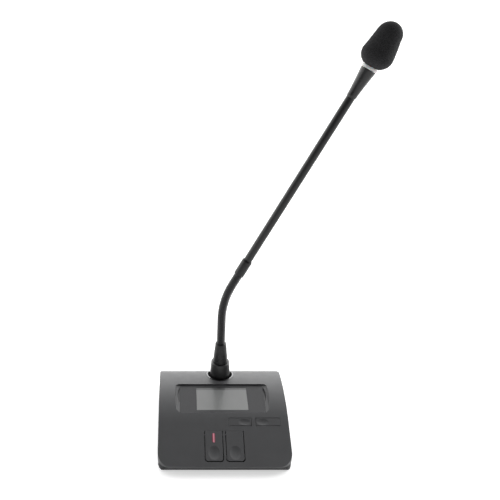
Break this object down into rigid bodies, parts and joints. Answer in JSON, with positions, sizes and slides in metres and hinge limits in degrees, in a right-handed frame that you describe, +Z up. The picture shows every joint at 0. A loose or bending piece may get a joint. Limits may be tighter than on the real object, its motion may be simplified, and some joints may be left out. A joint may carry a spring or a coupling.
{
  "type": "gooseneck podium microphone",
  "caption": "Desk microphone for podium or conference table: wedge base with display and keys, plug-in bendable gooseneck stem, light ring and foam windscreen.",
  "frame": {"origin": "centre of the underside of the rubber pad that the base stands on", "axes": "+Z up, -Y toward the person speaking (front lip and keys), +X to the side the stem leans to"},
  "size_m": [0.212, 0.1254, 0.3999],
  "materials": {
    "shell": "fine-textured anthracite moulding",
    "shell_lower": "fine-textured anthracite moulding, darker",
    "foot_rubber": "soft black rubber",
    "screw_steel": "zinc plated",
    "ballast_steel": "rolled plate",
    "board": "green solder mask",
    "jack_plastic": "moulded black",
    "contact_gold": "gold flash",
    "panel": "smooth satin panel",
    "window": "grey display cover",
    "lcd": "display glass",
    "frame_plastic": "moulded",
    "dome_silicone": "moulded silicone",
    "pin_steel": "drawn wire",
    "key": "fine-textured anthracite moulding",
    "key_light": "frosted red light guide, lit",
    "socket_ring": "polished trim ring",
    "plug_black": "satin black",
    "sleeve_nickel": "nickel plated",
    "boot_black": "satin black",
    "neck_steel": "black coated wound steel",
    "collar_black": "satin black",
    "tube_black": "satin black",
    "flare_black": "semi-gloss black",
    "light_ring": "frosted light guide, unlit",
    "housing_black": "satin black",
    "capsule_metal": "drawn can",
    "foam": "open-cell acoustic foam"
  },
  "bodies": {
    "base": {"shell_top": "shell", "shell_bottom": "shell_lower", "rubber_pad": "foot_rubber", "case_screws": "screw_steel", "ballast_plate": "ballast_steel", "main_board": "board", "board_screws": "screw_steel", "bus_jacks": "jack_plastic", "jack_contacts": "contact_gold", "display_panel": "panel", "display_window": "window", "lcd_module": "lcd", "lcd_board": "board", "lcd_screws": "screw_steel", "key_frame": "frame_plastic", "key_board": "board", "key_domes": "dome_silicone", "large_key_pin": "pin_steel", "small_key_pins": "pin_steel", "socket_ring": "socket_ring", "socket_housing": "jack_plastic", "socket_insert": "jack_plastic", "socket_contacts": "contact_gold"},
    "mic_key": {"mic_key": "key", "mic_key_light": "key_light"},
    "right_key": {"right_key": "key"},
    "small_key_left": {"small_key_left": "key"},
    "small_key_right": {"small_key_right": "key"},
    "plug": {"plug_shell": "plug_black", "plug_sleeve": "sleeve_nickel", "plug_insert": "jack_plastic", "plug_pins": "contact_gold", "plug_boot": "boot_black", "neck_root": "neck_steel"},
    "link_01": {"link_01": "neck_steel"},
    "link_02": {"link_02": "neck_steel"},
    "link_03": {"link_03": "neck_steel"},
    "link_04": {"link_04": "neck_steel"},
    "link_05": {"link_05": "neck_steel"},
    "link_06": {"link_06": "neck_steel"},
    "link_07": {"link_07": "neck_steel"},
    "link_08": {"link_08": "neck_steel"},
    "link_09": {"link_09": "neck_steel"},
    "link_10": {"link_10": "neck_steel"},
    "link_11": {"link_11": "neck_steel"},
    "head": {"neck_tip": "neck_steel", "collar": "collar_black", "stem_tube": "tube_black", "head_flare": "flare_black", "light_ring": "light_ring", "ring_board": "board", "capsule_housing": "housing_black", "capsule": "capsule_metal"},
    "windscreen": {"windscreen": "foam"}
  },
  "joints": [
    {"name": "mic_key_press", "type": "hinge", "parent": "base", "child": "mic_key", "pos_m": [-0.0103, -0.02743, 0.02023], "axis": [1, 0, 0], "range_deg": [0, 2.2], "stiffness_Nm_per_rad": 0.6, "springref_deg": -1.15},
    {"name": "right_key_press", "type": "hinge", "parent": "base", "child": "right_key", "pos_m": [0.0103, -0.02743, 0.02023], "axis": [1, 0, 0], "range_deg": [0, 2.2], "stiffness_Nm_per_rad": 0.6, "springref_deg": -1.15},
    {"name": "small_key_left_press", "type": "hinge", "parent": "base", "child": "small_key_left", "pos_m": [0.0066, -0.01682, 0.02506], "axis": [0, 0.91, 0.4147], "range_deg": [0, 2.2], "stiffness_Nm_per_rad": 0.4, "springref_deg": -1.15},
    {"name": "small_key_right_press", "type": "hinge", "parent": "base", "child": "small_key_right", "pos_m": [0.0555, -0.01682, 0.02506], "axis": [0, -0.91, -0.4147], "range_deg": [0, 2.2], "stiffness_Nm_per_rad": 0.4, "springref_deg": -1.15},
    {"name": "mic_unplug", "type": "slide", "parent": "base", "child": "plug", "axis": [0, 0, 1], "range_m": [0, 0.014]},
    {"name": "neck_side_1", "type": "hinge", "parent": "plug", "child": "link_01", "pos_m": [0, 0.0485, 0.08215], "axis": [0, 1, 0], "range_deg": [-20, 8]},
    {"name": "neck_fore_1", "type": "hinge", "parent": "link_01", "child": "link_02", "pos_m": [0, 0.0485, 0.08904], "axis": [1, 0, 0], "range_deg": [-12, 12]},
    {"name": "neck_side_2", "type": "hinge", "parent": "link_02", "child": "link_03", "pos_m": [0, 0.0485, 0.09594], "axis": [0, 1, 0], "range_deg": [-20, 8]},
    {"name": "neck_fore_2", "type": "hinge", "parent": "link_03", "child": "link_04", "pos_m": [0, 0.0485, 0.10283], "axis": [1, 0, 0], "range_deg": [-12, 12]},
    {"name": "neck_side_3", "type": "hinge", "parent": "link_04", "child": "link_05", "pos_m": [0.00002, 0.0485, 0.10972], "axis": [0, 1, 0], "range_deg": [-20, 8]},
    {"name": "neck_fore_3", "type": "hinge", "parent": "link_05", "child": "link_06", "pos_m": [0.00043, 0.0485, 0.1166], "axis": [0.995, 0, -0.1], "range_deg": [-12, 12]},
    {"name": "neck_side_4", "type": "hinge", "parent": "link_06", "child": "link_07", "pos_m": [0.00139, 0.0485, 0.12343], "axis": [0, 1, 0], "range_deg": [-20, 8]},
    {"name": "neck_fore_4", "type": "hinge", "parent": "link_07", "child": "link_08", "pos_m": [0.0029, 0.0485, 0.13015], "axis": [0.9663, 0, -0.2576], "range_deg": [-12, 12]},
    {"name": "neck_side_5", "type": "hinge", "parent": "link_08", "child": "link_09", "pos_m": [0.00494, 0.0485, 0.13673], "axis": [0, 1, 0], "range_deg": [-20, 8]},
    {"name": "neck_fore_5", "type": "hinge", "parent": "link_09", "child": "link_10", "pos_m": [0.0075, 0.0485, 0.14313], "axis": [0.9127, 0, -0.4085], "range_deg": [-12, 12]},
    {"name": "neck_side_6", "type": "hinge", "parent": "link_10", "child": "link_11", "pos_m": [0.01056, 0.0485, 0.14931], "axis": [0, 1, 0], "range_deg": [-20, 8]},
    {"name": "neck_fore_6", "type": "hinge", "parent": "link_11", "child": "head", "pos_m": [0.01375, 0.0485, 0.15542], "axis": [0.8862, 0, -0.4633], "range_deg": [-12, 12]},
    {"name": "windscreen_pull", "type": "slide", "parent": "head", "child": "windscreen", "axis": [0.4633, 0, 0.8862], "range_m": [0, 0.03]}
  ],
  "couplings": [
    {"joint": "neck_side_2", "follows": "neck_side_1", "ratio": 1},
    {"joint": "neck_fore_2", "follows": "neck_fore_1", "ratio": 1},
    {"joint": "neck_side_3", "follows": "neck_side_1", "ratio": 1},
    {"joint": "neck_fore_3", "follows": "neck_fore_1", "ratio": 1},
    {"joint": "neck_side_4", "follows": "neck_side_1", "ratio": 1},
    {"joint": "neck_fore_4", "follows": "neck_fore_1", "ratio": 1},
    {"joint": "neck_side_5", "follows": "neck_side_1", "ratio": 1},
    {"joint": "neck_fore_5", "follows": "neck_fore_1", "ratio": 1},
    {"joint": "neck_side_6", "follows": "neck_side_1", "ratio": 1},
    {"joint": "neck_fore_6", "follows": "neck_fore_1", "ratio": 1}
  ]
}
